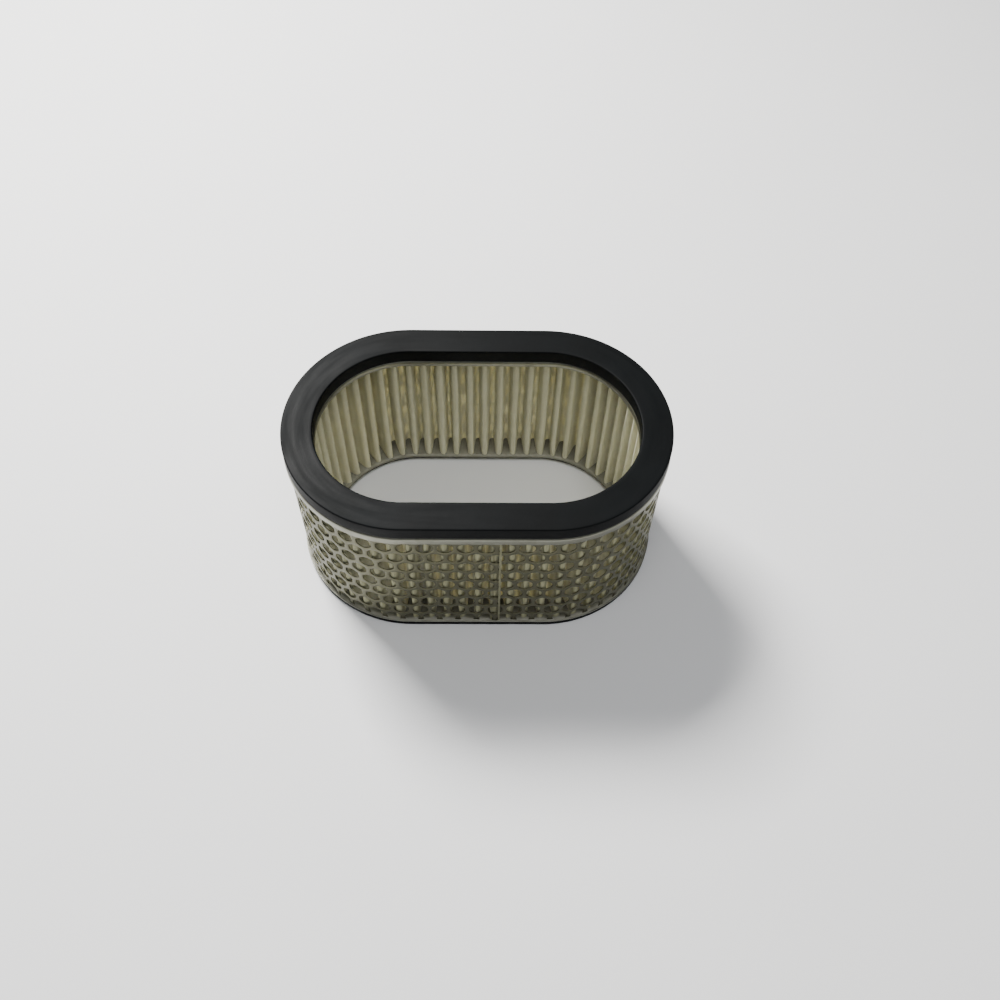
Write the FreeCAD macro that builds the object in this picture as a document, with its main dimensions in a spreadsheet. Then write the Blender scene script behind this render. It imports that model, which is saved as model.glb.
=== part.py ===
"""Oval pleated air filter element.

The element is an oval (racetrack) ring of pleated paper between two pressed steel end plates.
A perforated steel screen wraps the paper, a bed of set adhesive in each plate holds both,
and a flat rubber gasket is bonded to the outside of each plate.

Frame: the origin is the centre of the lower gasket's resting face. +X runs along the oval's
long axis, +Y across it and +Z up through the open middle. The lap of the screen is in front (-Y).
An "inset" is a distance measured inwards from the outline of the end plates.
"""
import FreeCAD, Part
import math
import os
import Sketcher
from FreeCAD import Placement, Rotation, Vector

PARTS_FOLDER = "parts"
UP = Vector(0, 0, 1)

# Driving sizes in millimetres, and counts.
SIZES = [
    # outline
    ("overall_length", 179.2),
    ("overall_width", 114.7),
    ("overall_height", 89.5),
    # gaskets
    ("gasket_inset", 0.2),
    ("upper_gasket_width", 14.4),
    ("lower_gasket_width", 13.0),
    ("upper_gasket_height", 7.4),
    ("lower_gasket_height", 2.2),
    ("upper_gasket_round", 0.6),
    ("lower_gasket_round", 0.5),
    # end plates
    ("plate_width", 14.7),
    ("plate_thickness", 0.5),
    ("plate_bend_round", 1.3),
    ("upper_outer_flange", 4.5),
    ("lower_outer_flange", 1.8),
    ("upper_inner_flange", 3.0),
    ("lower_inner_flange", 1.5),
    # adhesive beds
    ("upper_bed_depth", 2.0),
    ("lower_bed_depth", 1.5),
    ("bed_floor", 0.3),
    # paper
    ("paper_thickness", 0.5),
    ("pleat_count", 58),
    ("pleat_outer_inset", 1.7),
    ("pleat_inner_inset", 13.6),
    ("fold_flat", 0.9),
    # strip over the joint of the paper's two ends
    ("clip_thickness", 0.3),
    ("clip_leg", 4.5),
    ("joint_gap", 0.1),
    # perforated screen
    ("screen_thickness", 0.4),
    ("screen_inset", 1.1),
    ("holes_round", 53),
    ("hole_rows", 10),
    ("hole_across_flats", 7.2),
    ("hole_row_spacing", 8.25),
    ("lowest_hole_row", 6.3),
    ("lap_centre", 8.7),
    ("lap_width", 4.6),
    ("lap_jog", 1.2),
    ("lap_clearance", 0.05),
    ("plain_edge", 1.0),
]


# ---------------------------------------------------------------- document and sheet

def make_document():
    """Make the document and the sheet of driving sizes."""
    doc = FreeCAD.newDocument("air_filter_element")
    sheet = doc.addObject("Spreadsheet::Sheet", "Sizes")
    for row, (alias, value) in enumerate(SIZES, start=1):
        sheet.set("A%d" % row, alias)
        sheet.set("B%d" % row, str(value))
        sheet.setAlias("B%d" % row, alias)
    doc.recompute()
    return doc


def size(doc, expression):
    """Value of one driving size, or of an expression of them."""
    return float(doc.Sizes.evalExpression(expression))


# ---------------------------------------------------------------- the oval

def oval(doc, inset):
    """Half the straight length and the end radius of the oval at an inset."""
    half_straight = size(doc, "(overall_length - overall_width) / 2")
    return half_straight, size(doc, "overall_width") / 2 - inset


def oval_perimeter(doc, inset):
    """Length round the oval at an inset."""
    half_straight, radius = oval(doc, inset)
    return 4 * half_straight + 2 * math.pi * radius


def oval_frame(doc, distance, inset):
    """Point and outward direction at a distance round the oval.

    The distance starts at the middle of the front straight and runs towards +X.
    """
    half_straight, radius = oval(doc, inset)
    arc = math.pi * radius
    distance = distance % oval_perimeter(doc, inset)
    for end, start_angle in ((half_straight, -math.pi / 2), (-half_straight, math.pi / 2)):
        front = end > 0
        straight = half_straight if front else 2 * half_straight
        if distance <= straight:
            along = distance if front else half_straight - distance
            outward = Vector(0, -1 if front else 1, 0)
            return Vector(along, 0, 0) + outward * radius, outward
        distance -= straight
        if distance <= arc:
            angle = start_angle + distance / radius
            outward = Vector(math.cos(angle), math.sin(angle), 0)
            return Vector(end, 0, 0) + outward * radius, outward
        distance -= arc
    return Vector(distance - half_straight, -radius, 0), Vector(0, -1, 0)


def oval_prism(doc, inset, low, high):
    """Solid oval between two heights."""
    half_straight, radius = oval(doc, inset)
    front_left = Vector(-half_straight, -radius, low)
    front_right = Vector(half_straight, -radius, low)
    back_right = Vector(half_straight, radius, low)
    back_left = Vector(-half_straight, radius, low)
    edges = [Part.makeLine(front_left, front_right),
             Part.Arc(front_right, Vector(half_straight + radius, 0, low), back_right).toShape(),
             Part.makeLine(back_right, back_left),
             Part.Arc(back_left, Vector(-half_straight - radius, 0, low), front_left).toShape()]
    return Part.Face(Part.Wire(edges)).extrude(UP * (high - low))


# ---------------------------------------------------------------- bodies made from oval sketches

def origin_plane(body, role):
    """The body's own origin plane with this role."""
    return next(item for item in body.Origin.OriginFeatures if item.Role == role)


def draw_oval(doc, sketch, inset):
    """Draw one oval in a sketch. Its size is bound to the sheet; inset is a sheet expression."""
    half_straight, radius = oval(doc, size(doc, inset))
    quarter = math.pi / 2
    right_circle = Part.Circle(Vector(half_straight, 0, 0), UP, radius)
    left_circle = Part.Circle(Vector(-half_straight, 0, 0), UP, radius)
    back = sketch.addGeometry(Part.LineSegment(Vector(-half_straight, radius, 0),
                                               Vector(half_straight, radius, 0)))
    right = sketch.addGeometry(Part.ArcOfCircle(right_circle, -quarter, quarter))
    front = sketch.addGeometry(Part.LineSegment(Vector(half_straight, -radius, 0),
                                                Vector(-half_straight, -radius, 0)))
    left = sketch.addGeometry(Part.ArcOfCircle(left_circle, quarter, 3 * quarter))
    joins = ((back, 2, right, 2), (right, 1, front, 1), (front, 2, left, 2), (left, 1, back, 1))
    for first, first_end, second, second_end in joins:
        sketch.addConstraint(Sketcher.Constraint("Tangent", first, first_end, second, second_end))
    sketch.addConstraint(Sketcher.Constraint("Horizontal", back))
    sketch.addConstraint(Sketcher.Constraint("Symmetric", left, 3, right, 3, -1, 1))
    sketch.addConstraint(Sketcher.Constraint("PointOnObject", right, 3, -1))
    straight = sketch.addConstraint(
        Sketcher.Constraint("DistanceX", left, 3, right, 3, 2 * half_straight))
    sketch.setExpression("Constraints[%d]" % straight,
                         "Sizes.overall_length - Sizes.overall_width")
    bend = sketch.addConstraint(Sketcher.Constraint("Radius", right, radius))
    sketch.setExpression("Constraints[%d]" % bend,
                         "Sizes.overall_width / 2 - (%s)" % with_sheet(inset))


def with_sheet(expression):
    """The same expression with each driving size named through the sheet."""
    aliases = {alias for alias, value in SIZES}
    words = expression.replace("(", "( ").replace(")", " )").split()
    return " ".join("Sizes." + word if word in aliases else word for word in words)


def make_body(doc, label):
    """An empty body with its own label."""
    body = doc.addObject("PartDesign::Body", "Body_" + label)
    body.Label = label
    return body


def add_oval_ring(doc, body, name, outer, inner, height):
    """Pad a flat oval ring between two insets, up from the body's base plane."""
    sketch = body.newObject("Sketcher::SketchObject", name + "_sketch")
    sketch.AttachmentSupport = [(origin_plane(body, "XY_Plane"), "")]
    sketch.MapMode = "FlatFace"
    draw_oval(doc, sketch, outer)
    draw_oval(doc, sketch, inner)
    pad = body.newObject("PartDesign::Pad", name + "_pad")
    pad.Profile = sketch
    pad.setExpression("Length", with_sheet(height))
    sketch.Visibility = False
    doc.recompute()
    return pad


def round_rims(doc, body, base, name, insets, levels, radius):
    """Round the oval rims of a feature that lie at these insets and heights."""
    tolerance = 1e-3
    names = []
    for number, edge in enumerate(base.Shape.Edges, start=1):
        box = edge.BoundBox
        flat = box.ZLength < tolerance
        at_level = any(abs(box.ZMin - level) < tolerance for level in levels)
        if flat and at_level and any(on_oval(doc, edge, inset) for inset in insets):
            names.append("Edge%d" % number)
    fillet = body.newObject("PartDesign::Fillet", name)
    fillet.Base = (base, names)
    fillet.setExpression("Radius", with_sheet(radius))
    doc.recompute()
    return fillet


def on_oval(doc, edge, inset):
    """Whether the middle of an edge lies on the oval at an inset."""
    half_straight, radius = oval(doc, inset)
    middle = edge.valueAt((edge.FirstParameter + edge.LastParameter) / 2)
    beyond = max(abs(middle.x) - half_straight, 0)
    return abs(math.hypot(beyond, middle.y) - radius) < 1e-3


def gasket(doc, label, width, height, rounding, level):
    """A flat rubber ring with rounded rims, its lower face at a level."""
    body = make_body(doc, label)
    outer = "gasket_inset"
    inner = "( gasket_inset + %s )" % width
    pad = add_oval_ring(doc, body, label, outer, inner, height)
    insets = (size(doc, outer), size(doc, inner))
    levels = (0, size(doc, height))
    round_rims(doc, body, pad, label + "_rims", insets, levels, rounding)
    body.setExpression("Placement.Base.z", with_sheet(level))
    return body


def end_plate(doc, label, outer_flange, inner_flange, level, upside_down):
    """A pressed ring with a tall outer flange and a short inner one, its web on a level."""
    body = make_body(doc, label)
    add_oval_ring(doc, body, label + "_web", "0", "plate_width", "plate_thickness")
    add_oval_ring(doc, body, label + "_outer_flange", "0", "plate_thickness", outer_flange)
    flanges = add_oval_ring(doc, body, label + "_inner_flange",
                            "plate_width - plate_thickness", "plate_width", inner_flange)
    outside = (0, size(doc, "plate_width"))
    bends = round_rims(doc, body, flanges, label + "_bends", outside, (0,), "plate_bend_round")
    inside = (size(doc, "plate_thickness"), size(doc, "plate_width - plate_thickness"))
    round_rims(doc, body, bends, label + "_inner_bends", inside, (size(doc, "plate_thickness"),),
               "plate_bend_round - plate_thickness")
    if upside_down:
        body.Placement = Placement(Vector(0, 0, 0), Rotation(Vector(1, 0, 0), 180))
    body.setExpression("Placement.Base.z", with_sheet(level))
    return body


# ---------------------------------------------------------------- paper

def pleat_line(doc, first, last):
    """Middle line of the paper: the flats of its folds, alternately outside and inside.

    first and last count half pleats. An even one is an outer fold and an odd one an inner fold.
    """
    outer = size(doc, "pleat_outer_inset + paper_thickness / 2")
    inner = size(doc, "pleat_inner_inset - paper_thickness / 2")
    middle = (outer + inner) / 2
    half_pitch = oval_perimeter(doc, middle) / (2 * size(doc, "pleat_count"))
    half_flat = size(doc, "fold_flat") / 2
    points = []
    for fold in range(first, last + 1):
        reach = (inner - outer) / 2 * (1 if fold % 2 == 0 else -1)
        for side in (-half_flat, half_flat):
            point, outward = oval_frame(doc, fold * half_pitch + side, middle)
            points.append(point + outward * reach)
    return points


def shifted_line(points, shift, closed):
    """The same line moved sideways by a distance, with mitred corners."""
    count = len(points)
    moved = []
    for index, point in enumerate(points):
        before = points[index - 1] if closed or index > 0 else None
        after = points[(index + 1) % count] if closed or index < count - 1 else None
        entering = (point - before).normalize() if before else None
        leaving = (after - point).normalize() if after else None
        entering = entering or leaving
        leaving = leaving or entering
        sideways = (entering.cross(UP) + leaving.cross(UP)).normalize()
        moved.append(point + sideways * (shift / sideways.dot(entering.cross(UP))))
    return moved


def polygon_prism(points, low, high):
    """Extrude a polygon between two heights."""
    outline = [Vector(point.x, point.y, low) for point in points]
    return Part.Face(Part.makePolygon(outline + outline[:1])).extrude(UP * (high - low))


def strip_prism(points, near, far, low, high):
    """A strip that follows an open line, between two sideways shifts and two heights."""
    outline = shifted_line(points, near, False) + shifted_line(points, far, False)[::-1]
    return polygon_prism(outline, low, high)


def bed_levels(doc):
    """Heights of the webs' inner faces and of the beds' faces, from the lowest to the highest."""
    lower_web = size(doc, "lower_gasket_height + plate_thickness")
    upper_web = size(doc, "overall_height - upper_gasket_height - plate_thickness")
    lower_face = lower_web + size(doc, "lower_bed_depth")
    upper_face = upper_web - size(doc, "upper_bed_depth")
    return lower_web, lower_face, upper_face, upper_web


def embedded_levels(doc):
    """Heights of the lower and upper edges of what is set in the beds."""
    levels = bed_levels(doc)
    floor = size(doc, "bed_floor")
    return levels[0] + floor, levels[-1] - floor


def joint_fold(doc):
    """The inner fold where the paper's two ends meet, in front and left of the middle."""
    pleats_to_left = int(size(doc, "pleat_count")) // 16
    return -(2 * pleats_to_left + 1)


def pleated_media(doc):
    """One strip of paper in even pleats, closed into an oval but for the gap at its joint."""
    low, high = embedded_levels(doc)
    half_paper = size(doc, "paper_thickness") / 2
    fold = joint_fold(doc)
    whole = pleat_line(doc, fold, fold + 2 * int(size(doc, "pleat_count")))
    start = (whole[0] + whole[1]) * 0.5
    end = (whole[-2] + whole[-1]) * 0.5
    gap = (whole[1] - whole[0]).normalize() * (size(doc, "joint_gap") / 2)
    line = [start + gap] + whole[1:-1] + [end - gap]
    return strip_prism(line, -half_paper, half_paper, low, high)


def media_seam_clip(doc):
    """A thin strip folded over the inner fold where the paper's ends meet."""
    low, high = bed_levels(doc)[1:3]
    fold = joint_fold(doc)
    before, tip_start, tip_end, after = pleat_line(doc, fold - 1, fold + 1)[1:5]
    leg = size(doc, "clip_leg")
    line = [tip_start + (before - tip_start).normalize() * leg, tip_start,
            tip_end, tip_end + (after - tip_end).normalize() * leg]
    near = -size(doc, "paper_thickness") / 2
    return strip_prism(line, near, near - size(doc, "clip_thickness"), low, high)


# ---------------------------------------------------------------- perforated screen

def hexagon_prism(doc, distance, height, inset, depth):
    """A six-sided punch right through the oval at an inset, with two upright sides."""
    point, outward = oval_frame(doc, distance, inset)
    along = UP.cross(outward)
    corner_radius = size(doc, "hole_across_flats") / math.sqrt(3)
    centre = point - outward * (depth / 2) + UP * height
    corners = []
    for corner in range(6):
        angle = math.pi / 6 + corner * math.pi / 3
        corners.append(centre + along * (corner_radius * math.cos(angle))
                       + UP * (corner_radius * math.sin(angle)))
    return Part.Face(Part.makePolygon(corners + corners[:1])).extrude(outward * depth)


def largest_solid(shape):
    """The main solid of a shape, without crumbs that punching leaves at a corner."""
    return max(shape.Solids, key=lambda solid: solid.Volume)


def hole_heights(doc):
    """Heights of the rows of holes. The lowest and highest rows run into the plates."""
    lowest = size(doc, "lowest_hole_row")
    spacing = size(doc, "hole_row_spacing")
    return [lowest + row * spacing for row in range(int(size(doc, "hole_rows")))]


def hole_pitch(doc):
    """Distance between holes in a row: a whole number of them goes round the screen."""
    inner = size(doc, "screen_inset + screen_thickness")
    return oval_perimeter(doc, inner) / size(doc, "holes_round")


def hole_places(doc, first, last):
    """Distance and height of each hole between two distances.

    Every other row has a hole in the middle of the lap, and the rows between are staggered.
    """
    pitch = hole_pitch(doc)
    middle = size(doc, "lap_centre")
    places = []
    for row, height in enumerate(hole_heights(doc)):
        row_start = middle + (0 if row % 2 else pitch / 2)
        step = math.ceil((first - row_start) / pitch)
        while row_start + step * pitch < last:
            places.append((row_start + step * pitch, height))
            step += 1
    return places


def punches(doc, places):
    """Punches that pass right through the screen and its lap."""
    inset = size(doc, "screen_inset + screen_thickness")
    depth = size(doc, "10 * screen_thickness")
    tools = [hexagon_prism(doc, distance, height, inset, depth) for distance, height in places]
    return Part.makeCompound(tools)


def front_block(doc, start, width, low, high):
    """A block right through the front of the screen and its lap, from a distance."""
    depth = size(doc, "16 * screen_thickness")
    front_face = -oval(doc, size(doc, "screen_inset"))[1]
    return Part.makeBox(width, depth, high - low, Vector(start, front_face - depth / 2, low))


def outer_screen(doc):
    """A perforated sheet wrapped round the paper, one end lapped over the other in front.

    Each end of the sheet has a plain edge, where the holes stop.
    """
    low, high = embedded_levels(doc)
    thickness = size(doc, "screen_thickness")
    outer = size(doc, "screen_inset")
    inner = outer + thickness
    lap_start = size(doc, "lap_centre - lap_width / 2")
    lap_end = size(doc, "lap_centre + lap_width / 2")
    jog = size(doc, "lap_jog")
    clearance = size(doc, "lap_clearance")
    plain = size(doc, "plain_edge")
    near = (lap_start - hole_pitch(doc), lap_end + hole_pitch(doc))
    lap_punches = punches(doc, hole_places(doc, *near))
    other_places = hole_places(doc, near[1], near[0] + oval_perimeter(doc, inner))

    wall = oval_prism(doc, outer, low, high).cut(oval_prism(doc, inner, low, high))
    wall = wall.cut(front_block(doc, lap_start - jog, jog + clearance, low, high))
    wall = wall.cut(punches(doc, other_places))
    wall = wall.cut(lap_punches.cut(front_block(doc, lap_start, plain, low, high)))

    front_face = -oval(doc, outer)[1]
    under = front_face + thickness / 2
    over = front_face - clearance - thickness / 2
    line = [Vector(lap_start - jog, under, 0), Vector(lap_start, over, 0), Vector(lap_end, over, 0)]
    tongue = strip_prism(line, -thickness / 2, thickness / 2, low, high)
    tongue = tongue.cut(lap_punches.cut(front_block(doc, lap_end - plain, plain, low, high)))
    sheet = wall.fuse(tongue).removeSplitter()
    return largest_solid(sheet)


# ---------------------------------------------------------------- adhesive beds

def adhesive_bed(doc, label, depth, level, web_side, embedded):
    """A bed that fills a plate's channel, with the paper and the screen set into it.

    web_side is the height, in the bed's own frame, of its face against the plate's web.
    """
    body = make_body(doc, label + "_channel")
    outer = "plate_thickness"
    inner = "plate_width - plate_thickness"
    pad = add_oval_ring(doc, body, label, outer, inner, depth)
    corners = (size(doc, outer), size(doc, inner))
    round_rims(doc, body, pad, label + "_corners", corners, (size(doc, web_side),),
               "plate_bend_round - plate_thickness")
    body.setExpression("Placement.Base.z", with_sheet(level))
    bed = doc.addObject("Part::Cut", "Cut_" + label)
    bed.Base = body
    bed.Tool = embedded
    bed.Label = label
    return bed


# ---------------------------------------------------------------- build

def add_feature(doc, label, shape):
    """Put a computed shape in the document under its own label."""
    feature = doc.addObject("Part::Feature", "Shape_" + label)
    feature.Shape = shape
    feature.Placement = Placement()
    feature.Label = label
    return feature


def build(doc):
    """Every sub-part of the element, from the floor up."""
    lower_gasket = gasket(doc, "lower_gasket", "lower_gasket_width", "lower_gasket_height",
                          "lower_gasket_round", "0")
    lower_plate = end_plate(doc, "lower_end_plate", "lower_outer_flange", "lower_inner_flange",
                            "lower_gasket_height", False)
    paper = add_feature(doc, "pleated_media", pleated_media(doc))
    clip = add_feature(doc, "media_seam_clip", media_seam_clip(doc))
    screen = add_feature(doc, "outer_screen", outer_screen(doc))
    embedded = doc.addObject("Part::Compound", "Embedded")
    embedded.Links = [paper, screen]
    lower_bed = adhesive_bed(doc, "lower_adhesive_bed", "lower_bed_depth",
                             "lower_gasket_height + plate_thickness", "0", embedded)
    upper_bed = adhesive_bed(doc, "upper_adhesive_bed", "upper_bed_depth",
                             "overall_height - upper_gasket_height - plate_thickness"
                             " - upper_bed_depth", "upper_bed_depth", embedded)
    upper_plate = end_plate(doc, "upper_end_plate", "upper_outer_flange", "upper_inner_flange",
                            "overall_height - upper_gasket_height", True)
    upper_gasket = gasket(doc, "upper_gasket", "upper_gasket_width", "upper_gasket_height",
                          "upper_gasket_round", "overall_height - upper_gasket_height")
    return [lower_gasket, lower_plate, lower_bed, paper, clip, screen,
            upper_bed, upper_plate, upper_gasket]


def check(doc, subparts):
    """Stop if any object failed, or if a sub-part has no valid solid."""
    for item in doc.Objects:
        if "Invalid" in item.State or "Error" in item.State:
            raise RuntimeError("%s failed: %s" % (item.Name, item.State))
    for item in subparts:
        if item.Shape.isNull() or not item.Shape.isValid() or not item.Shape.Solids:
            raise RuntimeError("%s has no valid solid" % item.Label)


def export(subparts):
    """Write each sub-part to its own STEP file and print its size."""
    os.makedirs(PARTS_FOLDER, exist_ok=True)
    for item in subparts:
        item.Shape.exportStep(os.path.join(PARTS_FOLDER, item.Label + ".step"))
        box = item.Shape.BoundBox
        print("%-20s solids %d  faces %5d  volume %9.1f  z %6.2f to %6.2f"
              % (item.Label, len(item.Shape.Solids), len(item.Shape.Faces),
                 item.Shape.Volume, box.ZMin, box.ZMax))


document = make_document()
parts = build(document)
document.recompute()
check(document, parts)
export(parts)
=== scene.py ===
"""Looks of the oval air filter element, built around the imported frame.

All lengths are in metres. An "inset" is a distance measured inwards from the end plates' outline,
and a "distance" runs round the oval from the middle of its front, towards +X.
"""
import math

import bmesh
import bpy
import numpy as np
from mathutils import Matrix, Vector
from mathutils.kdtree import KDTree


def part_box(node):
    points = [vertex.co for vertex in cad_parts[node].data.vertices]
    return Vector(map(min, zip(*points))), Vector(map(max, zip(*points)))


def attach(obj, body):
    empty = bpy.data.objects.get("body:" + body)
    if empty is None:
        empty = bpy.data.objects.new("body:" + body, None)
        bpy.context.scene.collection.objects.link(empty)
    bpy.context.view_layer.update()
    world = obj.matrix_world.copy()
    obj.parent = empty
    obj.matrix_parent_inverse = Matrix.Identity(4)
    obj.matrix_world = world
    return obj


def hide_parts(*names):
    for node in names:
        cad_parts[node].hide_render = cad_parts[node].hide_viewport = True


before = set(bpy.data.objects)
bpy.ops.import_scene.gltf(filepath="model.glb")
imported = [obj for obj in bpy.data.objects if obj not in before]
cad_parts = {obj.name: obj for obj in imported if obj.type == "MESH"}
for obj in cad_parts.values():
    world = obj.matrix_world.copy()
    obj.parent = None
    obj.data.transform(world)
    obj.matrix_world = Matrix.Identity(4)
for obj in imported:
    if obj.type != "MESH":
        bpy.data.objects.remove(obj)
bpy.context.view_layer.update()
MM = 0.001

# ---------------------------------------------------------------- sizes

PLATE_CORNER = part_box("upper_end_plate")[1]
HALF_WIDTH = PLATE_CORNER.y
HALF_STRAIGHT = PLATE_CORNER.x - HALF_WIDTH
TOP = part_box("upper_gasket")[1].z


def levels(node):
    """Lowest and highest height of a CAD node."""
    low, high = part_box(node)
    return low.z, high.z


def outer_inset(node):
    """Inset of a CAD node's outer face, read where the oval is straight."""
    return HALF_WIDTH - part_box(node)[1].y


GASKET_OUTER = outer_inset("upper_gasket")
UPPER_GASKET_WIDTH = 14.4 * MM
LOWER_GASKET_WIDTH = 13.0 * MM

PLATE_WIDTH = 14.7 * MM
PLATE_THICKNESS = 0.5 * MM
PLATE_BEND = 1.3 * MM
LOWER_FLANGES = (1.8 * MM, 1.5 * MM)
UPPER_FLANGES = (4.5 * MM, 3.0 * MM)

PAPER_THICKNESS = 0.5 * MM
PLEATS = 58
PLEAT_OUTER = outer_inset("pleated_media") + PAPER_THICKNESS / 2
PLEAT_INNER = 13.6 * MM - PAPER_THICKNESS / 2
OUTER_FOLD_RADIUS = 1.9 * MM
INNER_FOLD_RADIUS = 0.8 * MM
PAPER_JOINT_FOLD = 2 * PLEATS - 7
CLIP_THICKNESS = 0.3 * MM
CLIP_REACH = 7

SCREEN_THICKNESS = 0.4 * MM
SCREEN_INSET = 1.1 * MM
SCREEN_MIDDLE = SCREEN_INSET + SCREEN_THICKNESS / 2
HOLES_ROUND = 53
HOLE_FLATS = 7.2 * MM
HOLE_CORNER = 2.6 * MM
ROW_SPACING = 8.25 * MM
LOWEST_ROW = 6.3 * MM
HOLE_ROWS = 10
PLAIN_EDGE = 1.0 * MM
LAP_CENTRE = 8.7 * MM
LAP_WIDTH = 4.6 * MM
LAP_JOG = 1.2 * MM
LAP_CLEARANCE = 0.05 * MM


# How many stations the swept pieces have round the oval
GASKET_STATIONS = 620
PLATE_STATIONS = 560
BED_STATIONS = 1300


# ---------------------------------------------------------------- the oval

def perimeter(inset):
    """Length round the oval at an inset."""
    return 4 * HALF_STRAIGHT + 2 * math.pi * (HALF_WIDTH - inset)


def oval(distance, inset):
    """Centres of curvature and outward directions at distances round the oval at an inset."""
    radius = HALF_WIDTH - inset
    arc = math.pi * radius
    distance = np.mod(distance, perimeter(inset))
    right_arc = np.clip(distance - HALF_STRAIGHT, 0, arc)
    left_arc = np.clip(distance - 3 * HALF_STRAIGHT - arc, 0, arc)
    angle = (right_arc + left_arc) / radius - math.pi / 2
    back = np.clip(distance - HALF_STRAIGHT - arc, 0, 2 * HALF_STRAIGHT)
    front = np.clip(distance - 3 * HALF_STRAIGHT - 2 * arc, 0, HALF_STRAIGHT)
    centre = np.minimum(distance, HALF_STRAIGHT) - back + front
    return centre, np.cos(angle), np.sin(angle)


def place(distance, reference, inset, height):
    """Points at an inset and height, opposite distances measured round a reference inset."""
    centre, across_x, across_y = oval(distance, reference)
    radius = HALF_WIDTH - inset
    x = centre + across_x * radius
    y = across_y * radius
    return np.stack(np.broadcast_arrays(x, y, height), axis=-1)


def ripple(distance, reference, seed, shortest, longest):
    """Smooth noise between about -1 and 1 that closes on itself round the oval."""
    random = np.random.RandomState(seed)
    whole = perimeter(reference)
    waves = np.arange(max(1, round(whole / longest)), max(2, round(whole / shortest)) + 1)
    total = np.zeros_like(distance)
    for wave in waves:
        phase = random.uniform(0, 2 * math.pi)
        total += random.normal() * np.cos(2 * math.pi * wave * distance / whole + phase)
    return total / math.sqrt(len(waves))


# ---------------------------------------------------------------- mesh helpers

def add_piece(name, points, faces, along, material, sharp_degrees):
    """Make a mesh object that rides with the frame and shows a material.

    along holds, for each point, its distance round the oval, its place across and its height,
    which the materials use for grain that follows the piece. Edges sharper than sharp_degrees
    stay crisp.
    """
    mesh = bpy.data.meshes.new(name)
    mesh.from_pydata(np.asarray(points).tolist(), [], [list(face) for face in faces])
    mesh.update()
    layer = mesh.attributes.new("along", "FLOAT_VECTOR", "POINT")
    layer.data.foreach_set("vector", np.asarray(along, dtype=np.float32).ravel())
    outward_faces(mesh)
    mesh.shade_smooth()
    mesh.set_sharp_from_angle(angle=math.radians(sharp_degrees))
    piece = bpy.data.objects.new(name, mesh)
    bpy.context.scene.collection.objects.link(piece)
    mesh.materials.append(material)
    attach(piece, "root")
    return piece


def outward_faces(mesh):
    """Turn every face outwards."""
    work = bmesh.new()
    work.from_mesh(mesh)
    bmesh.ops.recalc_face_normals(work, faces=work.faces)
    work.to_mesh(mesh)
    work.free()


def grid_faces(rows, columns, close_rows, close_columns):
    """Quads of a grid of points, closed on itself either way."""
    row = np.arange(rows if close_rows else rows - 1)
    column = np.arange(columns if close_columns else columns - 1)
    row, column = np.meshgrid(row, column, indexing="ij")
    next_row = (row + 1) % rows
    next_column = (column + 1) % columns
    quads = [row * columns + column, next_row * columns + column,
             next_row * columns + next_column, row * columns + next_column]
    return np.stack(quads, axis=-1).reshape(-1, 4)


def tube_faces(rows, around):
    """Faces of a closed outline repeated along a length, with both ends capped."""
    last = (rows - 1) * around
    caps = [list(range(around)), list(range(last, last + around))]
    return grid_faces(rows, around, False, True).tolist() + caps


def sweep(profile, stations, reference, warp):
    """Carry a closed profile of (inset, height) points round the oval."""
    profile = np.asarray(profile)
    distance = np.arange(stations) / stations * perimeter(reference)
    distance = np.repeat(distance[:, None], len(profile), axis=1)
    inset = np.broadcast_to(profile[:, 0], distance.shape)
    height = np.broadcast_to(profile[:, 1], distance.shape)
    shift_inset, shift_height = warp(distance, inset, height)
    points = place(distance, reference, inset + shift_inset, height + shift_height)
    along = np.stack([distance, inset, height], axis=-1)
    faces = grid_faces(stations, len(profile), True, True)
    return points.reshape(-1, 3), faces, along.reshape(-1, 3)


# ---------------------------------------------------------------- materials

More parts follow.
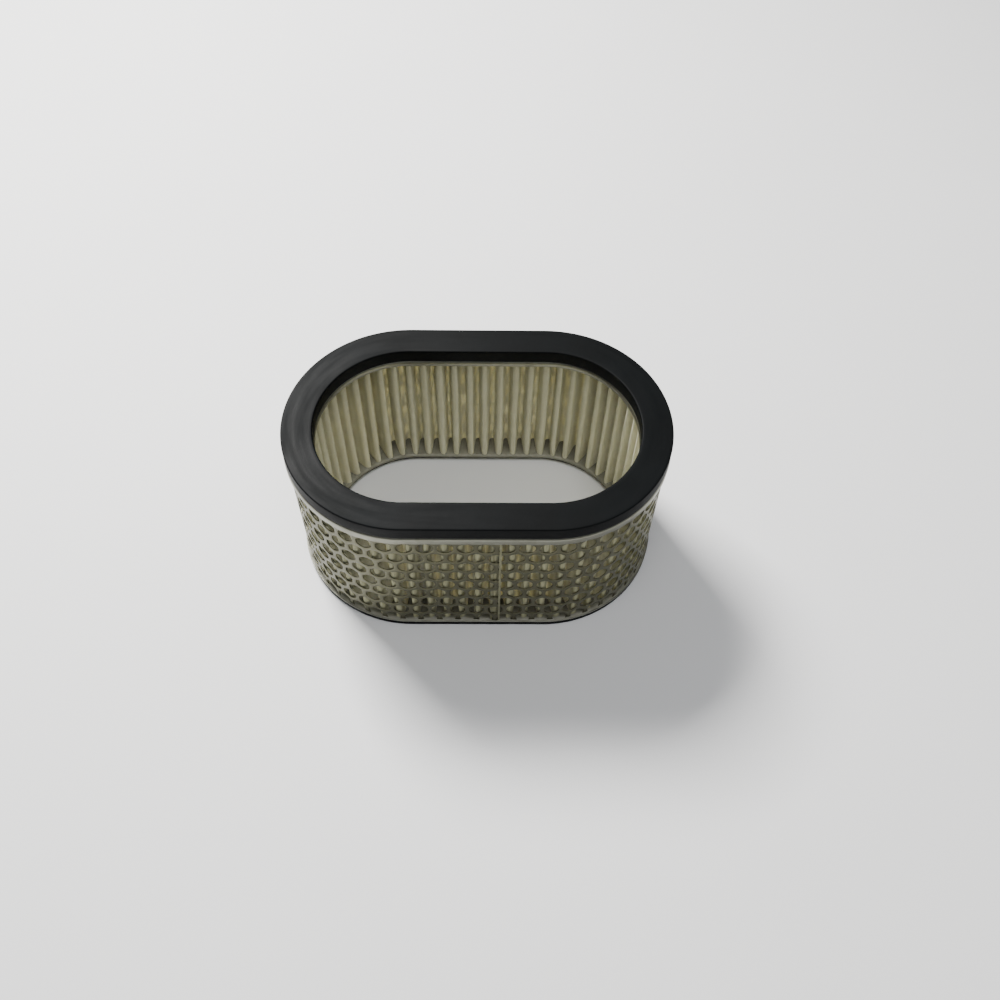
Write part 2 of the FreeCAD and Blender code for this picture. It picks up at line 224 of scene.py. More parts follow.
class Nodes:
    """A material under construction, with short calls for the nodes it needs."""

    def __init__(self, name):
        self.material = bpy.data.materials.new(name)
        self.material.use_nodes = True
        self.tree = self.material.node_tree
        self.shader = self.tree.nodes["Principled BSDF"]

    def add(self, kind, **settings):
        """A new node with its settings."""
        node = self.tree.nodes.new(kind)
        for key, value in settings.items():
            setattr(node, key, value)
        return node

    def link(self, source, target):
        """Join an output to an input."""
        self.tree.links.new(source, target)

    def object_place(self):
        """The point's place in the frame."""
        return self.add("ShaderNodeTexCoord").outputs["Object"]

    def along_place(self):
        """The point's distance round the oval, its inset and its height."""
        return self.add("ShaderNodeAttribute", attribute_name="along").outputs["Vector"]

    def stretched(self, place, scale):
        """The same place, scaled differently each way."""
        mapping = self.add("ShaderNodeMapping")
        mapping.inputs["Scale"].default_value = scale
        self.link(place, mapping.inputs["Vector"])
        return mapping.outputs["Vector"]

    def noise(self, place, scale, detail=4.0, roughness=0.55):
        """Fractal noise from 0 to 1."""
        node = self.add("ShaderNodeTexNoise")
        node.inputs["Scale"].default_value = scale
        node.inputs["Detail"].default_value = detail
        node.inputs["Roughness"].default_value = roughness
        self.link(place, node.inputs["Vector"])
        return node.outputs[0]

    def cells(self, place, scale, output="Color"):
        """Cells of random colour, or the distance to their centres."""
        node = self.add("ShaderNodeTexVoronoi")
        node.inputs["Scale"].default_value = scale
        self.link(place, node.inputs["Vector"])
        return node.outputs[output]

    def part(self, place, axis):
        """One coordinate of a place."""
        node = self.add("ShaderNodeSeparateXYZ")
        self.link(place, node.inputs["Vector"])
        return node.outputs[axis]

    def ramp(self, value, stops):
        """Colours at positions along a value."""
        node = self.add("ShaderNodeValToRGB")
        ramp = node.color_ramp
        while len(ramp.elements) < len(stops):
            ramp.elements.new(0.5)
        for element, (position, colour) in zip(ramp.elements, stops):
            element.position = position
            element.color = (*colour, 1.0)
        self.link(value, node.inputs["Fac"])
        return node.outputs["Color"]

    def remap(self, value, low, high, new_low, new_high):
        """A value stretched from one range to another."""
        node = self.add("ShaderNodeMapRange")
        sizes = {"From Min": low, "From Max": high, "To Min": new_low, "To Max": new_high}
        for name, number in sizes.items():
            node.inputs[name].default_value = number
        self.link(value, node.inputs["Value"])
        return node.outputs["Result"]

    def mix(self, first, second, factor, blend="MIX"):
        """Two colours mixed by a factor, which is an output or a number."""
        node = self.add("ShaderNodeMix", data_type="RGBA", blend_type=blend)
        colours = [socket for socket in node.inputs if socket.type == "RGBA"]
        for source, socket in zip((first, second), colours):
            if isinstance(source, tuple):
                socket.default_value = (*source, 1.0)
            else:
                self.link(source, socket)
        if isinstance(factor, (int, float)):
            node.inputs[0].default_value = factor
        else:
            self.link(factor, node.inputs[0])
        return next(socket for socket in node.outputs if socket.type == "RGBA")

    def calculate(self, operation, first, second):
        """Arithmetic on two values, each an output or a number."""
        node = self.add("ShaderNodeMath", operation=operation)
        for source, socket in ((first, node.inputs[0]), (second, node.inputs[1])):
            if isinstance(source, (int, float)):
                socket.default_value = source
            else:
                self.link(source, socket)
        return node.outputs["Value"]

    def bump(self, heights):
        """Bumps laid over each other; each is a height, its depth in metres and its strength."""
        normal = None
        for height, depth, strength in heights:
            node = self.add("ShaderNodeBump")
            node.inputs["Distance"].default_value = depth
            node.inputs["Strength"].default_value = strength
            self.link(height, node.inputs["Height"])
            if normal:
                self.link(normal, node.inputs["Normal"])
            normal = node.outputs["Normal"]
        self.link(normal, self.shader.inputs["Normal"])

    def finish(self, colour, roughness, **constants):
        """Join colour and roughness, and set what is the same all over."""
        self.link(colour, self.shader.inputs["Base Color"])
        self.link(roughness, self.shader.inputs["Roughness"])
        for name, value in constants.items():
            self.shader.inputs[name.replace("_", " ")].default_value = value
        return self.material


def rubber():
    """Black moulded rubber: fine skin, slight orange peel, smears and a little pale dust."""
    nodes = Nodes("gasket_rubber")
    place_in_frame = nodes.object_place()
    patches = nodes.noise(place_in_frame, 38, 5)
    peel = nodes.noise(place_in_frame, 420, 3)
    skin = nodes.noise(place_in_frame, 2600, 2)
    dust_and_painted_fold_shade = nodes.ramp(nodes.noise(place_in_frame, 900, 6, 0.7), [(0.60, (0, 0, 0)), (0.78, (1, 1, 1))])
    colour = nodes.ramp(patches, [(0.30, (0.0007, 0.0011, 0.0012)), (0.70, (0.0018, 0.0026, 0.0030))])
    colour = nodes.mix(colour, (0.05, 0.05, 0.045), nodes.calculate("MULTIPLY", dust_and_painted_fold_shade, 0.07))
    smears = nodes.noise(nodes.stretched(nodes.along_place(), (30, 260, 60)), 1.0, 4)
    roughness = nodes.remap(smears, 0.3, 0.7, 0.46, 0.62)
    nodes.bump([(peel, 0.00012, 0.3), (skin, 0.00004, 0.5)])
    return nodes.finish(colour, roughness, Specular_IOR_Level=0.08)


def zinc_steel(name, tint, grain, roughness_range, sheet_length=None):
    """Zinc-plated sheet: spangle, drawn grain along the piece, dull stains and fine scratches.

    A sheet of a given length gets a painted highlight along its two ends, broken up by the stain noise.
    """
    nodes = Nodes(name)
    place_in_frame = nodes.object_place()
    along = nodes.along_place()
    spangle = nodes.part(nodes.cells(place_in_frame, 650), "X")
    drawn = nodes.noise(nodes.stretched(along, grain), 1.0, 5, 0.65)
    stains = nodes.noise(place_in_frame, 95, 6, 0.62)
    bright = tuple(0.86 * part for part in tint)
    dull = tuple(0.60 * part for part in tint)
    colour = nodes.ramp(drawn, [(0.25, dull), (0.75, bright)])
    colour = nodes.mix(colour, bright, nodes.remap(spangle, 0, 1, 0, 0.35))
    stain_amount = nodes.ramp(stains, [(0.52, (0, 0, 0)), (0.72, (1, 1, 1))])
    stained = (0.45 * tint[0], 0.42 * tint[1], 0.36 * tint[2])
    colour = nodes.mix(colour, stained, nodes.calculate("MULTIPLY", stain_amount, 0.5))
    # Painted highlight: the sheet's two end strips at the lap are brightened in patches.
    if sheet_length:
        distance = nodes.part(along, "X")
        first_end = nodes.calculate("LESS_THAN", distance, PLAIN_EDGE)
        last_end = nodes.calculate("GREATER_THAN", distance, sheet_length - PLAIN_EDGE)
        ends = nodes.calculate("MAXIMUM", first_end, last_end)
        painted_end_highlight = nodes.calculate("MULTIPLY", ends, nodes.remap(stains, 0.35, 0.65, 0.9, 0.4))
        colour = nodes.mix(colour, tuple(2.3 * part for part in tint), painted_end_highlight)
    low, high = roughness_range
    roughness = nodes.remap(nodes.calculate("ADD", drawn, stains), 0.7, 1.3, low, high)
    nodes.bump([(drawn, 0.00003, 0.4), (nodes.noise(place_in_frame, 1800, 3), 0.00002, 0.4)])
    return nodes.finish(colour, roughness, Metallic=1.0)


def filter_paper():
    """Resin-treated paper: fibres, faint upright bands, and painted shade on the folds: darkest at the outer
    folds, a little darker at the inner fold ridges.
    """
    nodes = Nodes("filter_paper")
    place_in_frame = nodes.object_place()
    along = nodes.along_place()
    bands = nodes.noise(nodes.stretched(place_in_frame, (420, 420, 14)), 1.0, 4, 0.6)
    clouds = nodes.noise(place_in_frame, 120, 5, 0.6)
    fibres = nodes.noise(nodes.stretched(place_in_frame, (2600, 2600, 900)), 1.0, 4, 0.7)
    colour = nodes.ramp(bands, [(0.30, (0.62, 0.605, 0.475)), (0.70, (0.70, 0.69, 0.56))])
    colour = nodes.mix(colour, (0.80, 0.79, 0.65), nodes.remap(clouds, 0.45, 0.75, 0.0, 0.5))
    colour = nodes.mix(colour, (0.50, 0.47, 0.32), nodes.remap(fibres, 0.58, 0.80, 0.0, 0.35))
    # Painted shade across each pleat: the outer folds, which sit in shade behind the screen, are darkened
    # most, and the inner fold ridges are dimmed where light catches them.
    painted_fold_shade_levels = ((0.0, 0.50), (0.06, 0.54), (0.20, 0.96), (0.80, 1.0), (0.93, 0.86), (1.0, 0.82))
    dust_and_painted_fold_shade = nodes.ramp(nodes.part(along, "Y"), [(side, (grey, grey, grey ** 1.35)) for side, grey in painted_fold_shade_levels])
    colour = nodes.mix(colour, dust_and_painted_fold_shade, 1.0, "MULTIPLY")
    roughness = nodes.remap(fibres, 0.3, 0.7, 0.78, 0.95)
    nodes.bump([(bands, 0.00025, 0.2), (fibres, 0.00008, 0.6)])
    return nodes.finish(colour, roughness, Specular_IOR_Level=0.2,
                        Subsurface_Weight=0.5, Subsurface_Scale=0.0012,
                        Subsurface_Radius=(1.0, 0.95, 0.85))


def set_adhesive():
    """Dark set adhesive: cloudy colour, flow marks and small bubbles."""
    nodes = Nodes("set_adhesive")
    place_in_frame = nodes.object_place()
    clouds = nodes.noise(place_in_frame, 160, 5, 0.6)
    flow = nodes.noise(place_in_frame, 500, 3)
    bubbles = nodes.ramp(nodes.cells(place_in_frame, 900, "Distance"), [(0.0, (0, 0, 0)), (0.16, (1, 1, 1))])
    colour = nodes.ramp(clouds, [(0.3, (0.17, 0.165, 0.125)), (0.7, (0.27, 0.265, 0.205))])
    roughness = nodes.remap(flow, 0.3, 0.7, 0.38, 0.6)
    nodes.bump([(flow, 0.0003, 0.4), (bubbles, 0.00008, 0.3)])
    return nodes.finish(colour, roughness, Specular_IOR_Level=0.45)


RUBBER = rubber()
SHEET_LENGTH = perimeter(SCREEN_MIDDLE) + LAP_WIDTH
SCREEN_STEEL = zinc_steel("screen_steel", (0.15, 0.147, 0.092), (60, 900, 1500), (0.34, 0.50),
                          SHEET_LENGTH)
PLATE_STEEL = zinc_steel("plate_steel", (0.30, 0.30, 0.245), (9, 1500, 2600), (0.28, 0.44))
CLIP_STEEL = zinc_steel("clip_steel", (0.40, 0.39, 0.33), (900, 900, 25), (0.30, 0.45))
PAPER = filter_paper()
ADHESIVE = set_adhesive()


# ---------------------------------------------------------------- gaskets

def rounded_band(outer, inner, low, high, radius, flat_steps, side_steps, corner_steps=5):
    """Closed outline of a ring's section, with rounded corners."""
    outline = []
    corners = ((outer, low, 1, 1, side_steps), (outer, high, 1, -1, flat_steps),
               (inner, high, -1, -1, side_steps), (inner, low, -1, 1, flat_steps))
    for number, (inset, height, side, up, steps) in enumerate(corners):
        centre = np.array([inset + side * radius, height + up * radius])
        start = math.pi / 2 * (3, 2, 1, 0)[number]
        for step in range(corner_steps + 1):
            angle = start - step / corner_steps * math.pi / 2
            outline.append(centre + radius * np.array([math.cos(angle), math.sin(angle)]))
        following = corners[(number + 1) % 4]
        target = np.array([following[0] + following[2] * radius, following[1] + following[3] * radius])
        end = outline[-1]
        shift = target - centre
        outline.extend(end + shift * step / steps for step in range(1, steps))
    return np.array(outline)


def gasket(name, node, width, radius, bulge, sag, seed):
    """A rubber ring, a little uneven, with softly bulging sides."""
    low, high = levels(node)
    inner = GASKET_OUTER + width
    profile = rounded_band(GASKET_OUTER + bulge, inner - bulge, low, high, radius, 14, 6)
    middle = (GASKET_OUTER + inner) / 2

    def warp(distance, inset, height):
        up = (height - low) / (high - low)
        belly = 4 * up * (1 - up)
        side = (inset - middle) / (width / 2)
        wave = ripple(distance, 0, seed, 60 * MM, 200 * MM)
        edge = ripple(distance, 0, seed + 1, 14 * MM, 60 * MM)
        out = side * bulge * belly * (0.7 + 0.3 * np.clip(wave, -1, 1))
        out += edge * bulge * 0.12 * np.abs(side)
        drop = -sag * up * (0.25 + 0.25 * np.clip(wave, -1, 1) + 0.5 * side ** 4)
        return out, np.clip(drop, -sag, 0)

    points, faces, along = sweep(profile, GASKET_STATIONS, 0, warp)
    piece = add_piece(name, points, faces, along, RUBBER, 60)
    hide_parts(node)


gasket("upper_gasket_ring", "upper_gasket", UPPER_GASKET_WIDTH, 0.6 * MM, 0.05 * MM, 0.08 * MM, 11)
gasket("lower_gasket_ring", "lower_gasket", LOWER_GASKET_WIDTH, 0.5 * MM, 0.05 * MM, 0.0, 23)


# ---------------------------------------------------------------- end plates

def bent_line(points, radius, steps=6):
    """A line with each inner corner replaced by an arc."""
    line = [points[0]]
    for before, corner, after in zip(points, points[1:], points[2:]):
        incoming = (before - corner) / np.linalg.norm(before - corner)
        outgoing = (after - corner) / np.linalg.norm(after - corner)
        start = corner + incoming * radius
        end = corner + outgoing * radius
        centre = corner + (incoming + outgoing) * radius
        for step in range(steps + 1):
            angle = step / steps * math.pi / 2
            line.append(centre + (start - centre) * math.cos(angle) + (end - centre) * math.sin(angle))
    line.append(points[-1])
    return np.array(line)


def thickened(line, thickness):
    """Closed outline of a sheet whose middle follows a line, with rounded ends."""
    heading = np.gradient(line, axis=0)
    heading /= np.linalg.norm(heading, axis=1)[:, None]
    side = np.stack([-heading[:, 1], heading[:, 0]], axis=1) * thickness / 2
    tail = [line[-1] + side[-1] * math.cos(angle) + heading[-1] * thickness / 2 * math.sin(angle)
            for angle in np.linspace(0, math.pi, 5)[1:-1]]
    nose = [line[0] - side[0] * math.cos(angle) - heading[0] * thickness / 2 * math.sin(angle)
            for angle in np.linspace(0, math.pi, 5)[1:-1]]
    return np.vstack([line + side, tail, (line - side)[::-1], nose])


def end_plate(name, node, web_face, down, flanges, seed):
    """A pressed steel channel: a flat web with a tall outer flange and a short inner one."""
    half = PLATE_THICKNESS / 2
    outer_flange, inner_flange = flanges
    inner = PLATE_WIDTH - half
    direction = -1 if down else 1
    corners = [np.array([half, outer_flange - half]), np.array([half, half]),
               np.array([inner, half]), np.array([inner, inner_flange - half])]
    straight = bent_line(corners, PLATE_BEND - half)
    line = np.vstack([np.linspace(straight[0], straight[1], 6)[:-1], straight[1:]])
    profile = thickened(line, PLATE_THICKNESS)
    profile = np.stack([profile[:, 0], web_face + direction * profile[:, 1]], axis=1)

    def warp(distance, inset, height):
        depth = np.abs(height - web_face) / outer_flange
        dents = ripple(distance, 0, seed, 10 * MM, 70 * MM)
        lip = ripple(distance, 0, seed + 1, 8 * MM, 50 * MM)
        outside = inset < PLATE_WIDTH / 2
        pressed_in = 0.05 * MM * (1 + np.clip(dents, -1, 1)) * depth ** 2
        rise = np.where(outside, 0.08 * MM * np.clip(lip, -1, 1) * depth ** 2, 0)
        return np.where(outside, pressed_in, 0), rise

    points, faces, along = sweep(profile, PLATE_STATIONS, 0, warp)
    piece = add_piece(name, points, faces, along, PLATE_STEEL, 50)
    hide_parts(node)


end_plate("lower_plate_pressing", "lower_end_plate", levels("lower_end_plate")[0], False, LOWER_FLANGES, 31)
end_plate("upper_plate_pressing", "upper_end_plate", levels("upper_end_plate")[1], True, UPPER_FLANGES, 37)


# ---------------------------------------------------------------- paper

PLEAT_MIDDLE = (PLEAT_OUTER + PLEAT_INNER) / 2
HALF_PLEAT = perimeter(PLEAT_MIDDLE) / (2 * PLEATS)
PAPER_LOW, PAPER_HIGH = levels("pleated_media")


def half_pleat_shape(arc_steps=5, flank_steps=6):
    """Middle line of half a pleat, from an outer fold to an inner one.

    Returns how far along it is, from 0 to 1, and how deep, from 0 to 1.
    """
    depth = PLEAT_INNER - PLEAT_OUTER
    both = OUTER_FOLD_RADIUS + INNER_FOLD_RADIUS
    centres = np.array([HALF_PLEAT, depth - both])
    slope = math.atan2(centres[0], centres[1])
    turn = math.pi / 2 - (slope - math.asin(both / np.linalg.norm(centres)))
    angles = np.linspace(0, turn, arc_steps + 1)
    arc = np.stack([np.sin(angles), 1 - np.cos(angles)], axis=1)
    first = OUTER_FOLD_RADIUS * arc
    last = np.array([HALF_PLEAT, depth]) - INNER_FOLD_RADIUS * arc[::-1]
    flank = np.linspace(first[-1], last[0], flank_steps + 1)[1:-1]
    shape = np.vstack([first, flank, last])
    return shape[:, 0] / HALF_PLEAT, shape[:, 1] / depth


def fold_places(height):
    """Distance round the oval and inset of every fold at heights, each a little off its even place."""
    random = np.random.RandomState(5)
    count = 2 * PLEATS
    height = np.asarray(height)[:, None]
    up = (height - PAPER_LOW) / (PAPER_HIGH - PAPER_LOW)
    base = random.normal(0, 0.17, count) * MM
    lean = random.normal(0, 0.22, count) * MM
    bow = random.normal(0, 0.20, count) * MM
    wave = random.uniform(0, 2 * math.pi, count)
    flutter = 0.06 * MM * np.sin(2 * math.pi * up * 2.3 + wave)
    drift = base + lean * (up - 0.5) + bow * np.sin(math.pi * up) + flutter
    distance = np.arange(count) * HALF_PLEAT + drift
    deep = np.arange(count) % 2
    reach = np.clip(random.normal(0.12, 0.12, count), 0, 0.45) * MM
    reach = reach + np.clip(random.normal(0.1, 0.12, count), 0, 0.4) * MM * np.sin(math.pi * up)
    inset = np.where(deep == 1, PLEAT_INNER - reach, PLEAT_OUTER + reach)
    return distance, inset


def paper_surface(height, shift):
    """Points of the paper at heights, moved sideways from its middle, and their grain places."""
    along_shape, deep_shape = half_pleat_shape()
    along_shape, deep_shape = along_shape[:-1], deep_shape[:-1]
    distance, inset = fold_places(height)
    next_distance = np.roll(distance, -1, axis=1)
    next_distance[:, -1] += perimeter(PLEAT_MIDDLE)
    next_inset = np.roll(inset, -1, axis=1)
    belly = np.random.RandomState(9).normal(0, 0.14, distance.shape[1]) * MM
    swell = belly[None, :, None] * np.sin(math.pi * deep_shape)
    along = distance[..., None] + (next_distance - distance)[..., None] * along_shape + swell
    across = inset[..., None] + (next_inset - inset)[..., None] * deep_shape
    along = along.reshape(len(height), -1)
    across = across.reshape(len(height), -1)
    middle = place(along, PLEAT_MIDDLE, across, 0.0)[..., :2]
    heading = np.roll(middle, -1, axis=1) - np.roll(middle, 1, axis=1)
    heading /= np.linalg.norm(heading, axis=2)[..., None]
    outward = np.stack([heading[..., 1], -heading[..., 0]], axis=-1)
    tall = np.broadcast_to(np.asarray(height)[:, None], along.shape)
    points = np.concatenate([middle + outward * shift, tall[..., None]], axis=-1)
    deep = np.tile(np.concatenate([deep_shape, 1 - deep_shape]), PLEATS)
    grain = np.stack([along, np.broadcast_to(deep, along.shape), tall], axis=-1)
    return points, grain


def pleated_media():
    """The folded paper as one closed strip with its real thickness."""
    height = np.linspace(PAPER_LOW, PAPER_HIGH, 30)
    outer = paper_surface(height, PAPER_THICKNESS / 2)
    inner = paper_surface(height, -PAPER_THICKNESS / 2)
    points = np.vstack([outer[0], inner[0][::-1]])
    grain = np.vstack([outer[1], inner[1][::-1]])
    grain[..., 1] = grain[..., 1] / 2 + np.repeat([0, 0.5], len(height))[:, None]
    faces = grid_faces(*points.shape[:2], True, True)
    piece = add_piece("pleated_paper", points.reshape(-1, 3), faces, grain.reshape(-1, 3),
                      PAPER, 70)
    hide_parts("pleated_media")


def seam_clip():
    """A thin steel strip folded over the inner fold where the paper's two ends meet."""
    height = np.linspace(*levels("media_seam_clip"), 24)
    steps = len(half_pleat_shape()[0]) - 1
    tip = PAPER_JOINT_FOLD * steps
    columns = np.arange(tip - CLIP_REACH, tip + CLIP_REACH + 1)
    near = [part[:, columns] for part in paper_surface(height, -PAPER_THICKNESS / 2)]
    far = [part[:, columns] for part in paper_surface(height, -PAPER_THICKNESS / 2 - CLIP_THICKNESS)]
    points = np.concatenate([near[0], far[0][:, ::-1]], axis=1)
    grain = np.concatenate([near[1], far[1][:, ::-1]], axis=1)
    faces = tube_faces(*points.shape[:2])
    piece = add_piece("paper_seam_clip", points.reshape(-1, 3), faces, grain.reshape(-1, 3),
                      CLIP_STEEL, 50)
    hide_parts("media_seam_clip")


pleated_media()
seam_clip()


# ---------------------------------------------------------------- perforated screen

HOLE_PITCH = perimeter(SCREEN_MIDDLE) / HOLES_ROUND
SIDE_STEPS = (0.0, 0.14, 0.32, 0.5, 0.68, 0.86)


def cell_outline():
    """Outline of the piece of sheet round one hole: a hexagon with two upright sides."""
    half_pitch = HOLE_PITCH / 2
    side, peak = ROW_SPACING / 3, ROW_SPACING * 2 / 3
    corners = np.array([(half_pitch, -side), (half_pitch, side), (0, peak),
                        (-half_pitch, side), (-half_pitch, -side), (0, -peak)])
    following = np.roll(corners, -1, axis=0)
    steps = np.array(SIDE_STEPS)[None, :, None]
    return (corners[:, None] * (1 - steps) + following[:, None] * steps).reshape(-1, 2)


def hole_outline(outline, growth):
    """The rounded six-sided hole, met along the directions of an outline's points."""
    flat = HOLE_FLATS / 2 + growth
    corner = HOLE_CORNER + growth
    reach = (flat - corner) / math.cos(math.pi / 6)
    direction = np.arctan2(outline[:, 1], outline[:, 0])
    off_corner = np.abs(np.mod(direction, math.pi / 3) - math.pi / 6)
    tangent = math.atan2(corner / 2, reach + corner * math.cos(math.pi / 6))
    sideways = np.minimum(reach * np.sin(off_corner), corner)
    round_part = reach * np.cos(off_corner) + np.sqrt(corner ** 2 - sideways ** 2)
    flat_part = flat / np.cos(math.pi / 6 - off_corner)
    distance = np.where(off_corner < tangent, round_part, flat_part)
    return np.stack([np.cos(direction), np.sin(direction)], axis=1) * distance[:, None]


def flat_lattice():
    """The perforated sheet laid flat: its points (distance, height, depth) and faces.

    Every other row has a hole in the middle of the lap.
    """
    outline = cell_outline()
    roll_over = 0.16 * MM
    rings = [(outline, 0), (hole_outline(outline, roll_over), 0),
             (hole_outline(outline, roll_over * 0.3), roll_over * 0.35),
             (hole_outline(outline, 0), roll_over), (hole_outline(outline, 0), SCREEN_THICKNESS),
             (outline, SCREEN_THICKNESS)]
    cell = np.vstack([np.column_stack([ring, np.full(len(ring), depth)]) for ring, depth in rings])
    cell_faces = grid_faces(len(rings), len(outline), False, True)
    across = int(SHEET_LENGTH / HOLE_PITCH) + 3
    points, faces = [], []
    for row in range(-1, HOLE_ROWS + 1):
        for column in range(-1, across):
            along = LAP_WIDTH / 2 + (column + (1 - row % 2) / 2) * HOLE_PITCH
            shift = along, LOWEST_ROW + row * ROW_SPACING, 0
            faces.append(cell_faces + len(points) * len(cell))
            points.append(cell + shift)
    points, faces = np.vstack(points), np.vstack(faces)
    key = np.round(points / (0.01 * MM)).astype(np.int64)
    _, first, number = np.unique(key, axis=0, return_index=True, return_inverse=True)
    return points[first], number.reshape(-1)[faces]


def trimmed(points, faces, cuts):
    """The same mesh cut at planes (point, direction) and closed; what lies in the direction goes."""
    mesh = bpy.data.meshes.new("flat_sheet")
    mesh.from_pydata(points.tolist(), [], faces.tolist())
    work = bmesh.new()
    work.from_mesh(mesh)
    for point, direction in cuts:
        geometry = work.verts[:] + work.edges[:] + work.faces[:]
        result = bmesh.ops.bisect_plane(work, geom=geometry, plane_co=point, plane_no=direction,
                                        dist=0.0005 * MM, clear_outer=True)
        rim = [item for item in result["geom_cut"] if isinstance(item, bmesh.types.BMEdge)]
        bmesh.ops.holes_fill(work, edges=rim, sides=0)
    work.verts.index_update()
    points = np.array([vertex.co for vertex in work.verts])
    faces = [[vertex.index for vertex in face.verts] for face in work.faces]
    work.free()
    bpy.data.meshes.remove(mesh)
    return points, faces


def plain_edge(start, end, low, high):
    """A strip of sheet without holes, laid flat: its points and faces."""
    edge = 0.08 * MM
    rows = 60
    far = SCREEN_THICKNESS
    section = [(start + edge, 0), (end - edge, 0), (end, edge), (end, far - edge),
               (end - edge, far), (start + edge, far), (start, far - edge), (start, edge)]
    points = [(along, height, depth) for height in np.linspace(low, high, rows)
              for along, depth in section]
    return np.array(points), tube_faces(rows, len(section))


def smooth_step(value):
    """0 to 1, easing in and out."""
    value = np.clip(value, 0, 1)
    return value * value * (3 - 2 * value)


def flat_sheet(low, high):
    """The whole sheet laid flat: the lattice between two plain edges."""
    overlap = 0.05 * MM
    cuts = [((0, low, 0), (0, -1, 0)), ((0, high, 0), (0, 1, 0)),
            ((PLAIN_EDGE - overlap, 0, 0), (-1, 0, 0)),
            ((SHEET_LENGTH - PLAIN_EDGE + overlap, 0, 0), (1, 0, 0))]
    points, faces = trimmed(*flat_lattice(), cuts)
    for start in (0, SHEET_LENGTH - PLAIN_EDGE):
        edge_points, edge_faces = plain_edge(start, start + PLAIN_EDGE, low, high)
        faces += [[index + len(points) for index in face] for face in edge_faces]
        points = np.vstack([points, edge_points])
    return points, faces


def outer_screen():
    """The perforated sheet wrapped round the paper, one end lapped over the other in front."""
    once_round = perimeter(SCREEN_MIDDLE)
    low, high = levels("outer_screen")
    points, faces = flat_sheet(low, high)
    along, height, depth = points.T
    lifted = smooth_step((along - once_round + LAP_JOG) / LAP_JOG)
    up = (height - low) / (high - low)
    free = np.sin(math.pi * np.clip(up, 0, 1))
    spring = smooth_step((along - once_round) / LAP_WIDTH) * free
    wave = 0.05 * MM * np.clip(ripple(along, SCREEN_MIDDLE, 41, 9 * MM, 60 * MM), -1, 1)
    inset = SCREEN_INSET + depth + wave * free
    inset -= lifted * (SCREEN_THICKNESS + LAP_CLEARANCE) + spring * 0.18 * MM
    start = LAP_CENTRE - LAP_WIDTH / 2
    placed = place(along + start, SCREEN_MIDDLE, inset, height)
    grain = np.column_stack([along, depth, height])
    piece = add_piece("perforated_screen", placed, faces, grain, SCREEN_STEEL, 35)
    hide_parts("outer_screen")


outer_screen()


# ---------------------------------------------------------------- adhesive beds

def paper_tree(height):
    """Finds the nearest point of the paper's middle line at a height."""
    points, grain = paper_surface([height], 0.0)
    tree = KDTree(points.shape[1])
    for index, point in enumerate(points[0]):
        tree.insert((point[0], point[1], 0.0), index)
    tree.balance()
    return tree


def adhesive_bed(name, node, face, back, lips, seed):
    """Set adhesive in a plate's channel, climbing a little where it meets the paper.

    lips holds how far the bed falls back at its outer and inner rims.
    """
    outer = PLATE_THICKNESS
    inner = PLATE_WIDTH - PLATE_THICKNESS
    toward = 1 if face > back else -1
    across = np.linspace(outer, inner, 40)
    profile = [(inset, face) for inset in across]
    profile += [(inner, back + toward * 0.8 * MM), (inner - 0.8 * MM, back),
                (outer + 0.8 * MM, back), (outer, back + toward * 0.8 * MM)]
    tree = paper_tree(face)
    outer_lip, inner_lip = lips

    def warp(distance, inset, height):
        spots = place(distance, 0, inset, 0.0)
        gap = np.zeros(distance.shape)
        for station in range(gap.shape[0]):
            for step in range(len(across)):
                gap[station, step] = tree.find(spots[station, step])[2]
        climb = 0.45 * MM * np.exp(-np.maximum(gap - PAPER_THICKNESS / 2, 0) / (0.35 * MM))
        uneven = 0.12 * MM * ripple(distance + 0.7 * inset, 0, seed, 5 * MM, 40 * MM)
        near_outer = smooth_step(1 - (inset - outer) / (1.4 * MM))
        near_inner = smooth_step(1 - (inner - inset) / (1.2 * MM))
        lift = climb + uneven - near_outer * outer_lip - near_inner * inner_lip
        on_face = np.arange(distance.shape[1]) < len(across)
        return np.zeros(distance.shape), np.where(on_face, toward * lift, 0)

    points, faces, along = sweep(profile, BED_STATIONS, 0, warp)
    piece = add_piece(name, points, faces, along, ADHESIVE, 60)
    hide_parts(node)


LOWER_WEB = levels("lower_end_plate")[0] + PLATE_THICKNESS
UPPER_WEB = levels("upper_end_plate")[1] - PLATE_THICKNESS
LOWER_FACE = levels("lower_adhesive_bed")[1]
UPPER_FACE = levels("upper_adhesive_bed")[0]
adhesive_bed("lower_adhesive", "lower_adhesive_bed", LOWER_FACE, LOWER_WEB, (0.35 * MM, 0.5 * MM), 51)
adhesive_bed("upper_adhesive", "upper_adhesive_bed", UPPER_FACE, UPPER_WEB, (-0.4 * MM, -0.3 * MM), 53)


# ---------------------------------------------------------------- floor, light and camera

def floor_material():
    """Smooth pale card."""
    nodes = Nodes("pale_floor")
    place_in_frame = nodes.object_place()
    clouds = nodes.noise(place_in_frame, 6, 3)
    colour = nodes.ramp(clouds, [(0.2, (0.83, 0.83, 0.83)), (0.8, (0.86, 0.86, 0.86))])
    grain = nodes.noise(place_in_frame, 1500, 3)
    nodes.bump([(grain, 0.00005, 0.1)])
    return nodes.finish(colour, nodes.remap(grain, 0.3, 0.7, 0.55, 0.7), Specular_IOR_Level=0.2)


def make_floor():
    """A wide flat floor under the lower gasket."""
    mesh = bpy.data.meshes.new("floor")
    reach = 4.0
    corners = [(-reach, -reach, 0), (reach, -reach, 0), (reach, reach, 0), (-reach, reach, 0)]
    mesh.from_pydata(corners, [], [(0, 1, 2, 3)])
    mesh.materials.append(floor_material())
    floor = bpy.data.objects.new("floor", mesh)
    bpy.context.scene.collection.objects.link(floor)


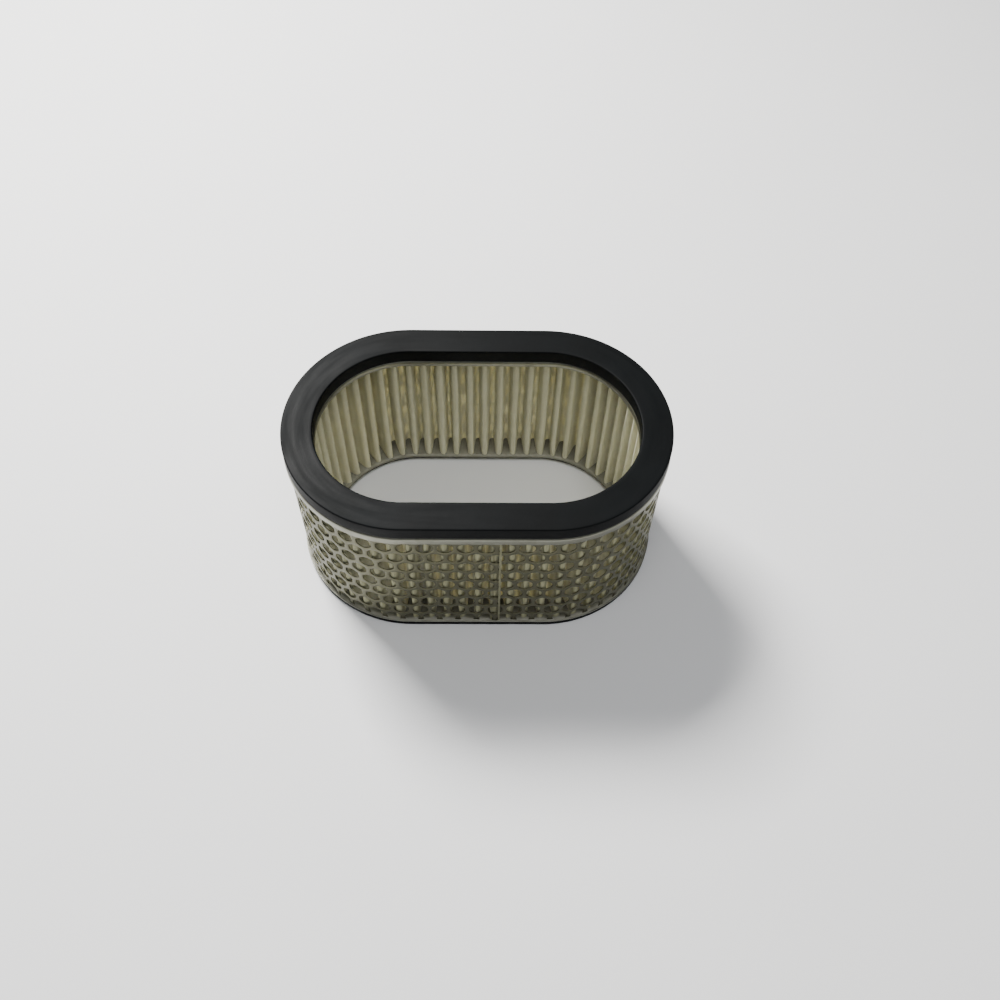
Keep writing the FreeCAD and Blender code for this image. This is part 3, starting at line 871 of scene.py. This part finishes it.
def soft_light(name, place_at, across, power, colour):
    """A square area light aimed at the middle of the element."""
    light = bpy.data.lights.new(name, "AREA")
    light.shape = "SQUARE"
    light.size = across
    light.energy = power
    light.color = colour
    lamp = bpy.data.objects.new(name, light)
    lamp.location = place_at
    aim = Vector((0, 0, TOP / 2)) - Vector(place_at)
    lamp.rotation_euler = aim.to_track_quat("-Z", "Y").to_euler()
    bpy.context.scene.collection.objects.link(lamp)


def pale_world(colour, strength):
    """Even light from all round."""
    world = bpy.data.worlds.new("studio")
    world.use_nodes = True
    background = world.node_tree.nodes["Background"]
    background.inputs["Color"].default_value = (*colour, 1.0)
    background.inputs["Strength"].default_value = strength
    bpy.context.scene.world = world


CAMERA_ANGLES = (56.76, 1.71, 1.68)
CAMERA_TARGET = (0.0110, -0.00639, 0.0356)
CAMERA_DISTANCE = 0.50808
LENS_LENGTH = 36.91


def make_camera():
    """The view from in front and above: pitch downwards, yaw to the right and roll, in degrees."""
    pitch, yaw, roll = (math.radians(angle) for angle in CAMERA_ANGLES)
    ahead = Vector((math.sin(yaw) * math.cos(pitch), math.cos(yaw) * math.cos(pitch), -math.sin(pitch)))
    level_right = Vector((math.cos(yaw), -math.sin(yaw), 0))
    level_up = level_right.cross(ahead)
    right = level_right * math.cos(roll) + level_up * math.sin(roll)
    up = level_up * math.cos(roll) - level_right * math.sin(roll)
    lens = bpy.data.cameras.new("camera")
    lens.sensor_width = 36.0
    lens.lens = LENS_LENGTH
    lens.clip_start = 0.01
    camera = bpy.data.objects.new("camera", lens)
    turn = Matrix((right, up, -ahead)).transposed()
    place_at = Vector(CAMERA_TARGET) - ahead * CAMERA_DISTANCE
    camera.matrix_world = Matrix.Translation(place_at) @ turn.to_4x4()
    bpy.context.scene.collection.objects.link(camera)
    bpy.context.scene.camera = camera


make_floor()
soft_light("key_light", (-0.50, 0.66, 0.95), 0.40, 44, (1.0, 0.99, 0.97))
soft_light("top_light", (0.10, -0.30, 1.30), 0.60, 7, (0.97, 0.98, 1.0))
pale_world((0.95, 0.97, 1.0), 0.22)
make_camera()

bpy.context.view_layer.update()
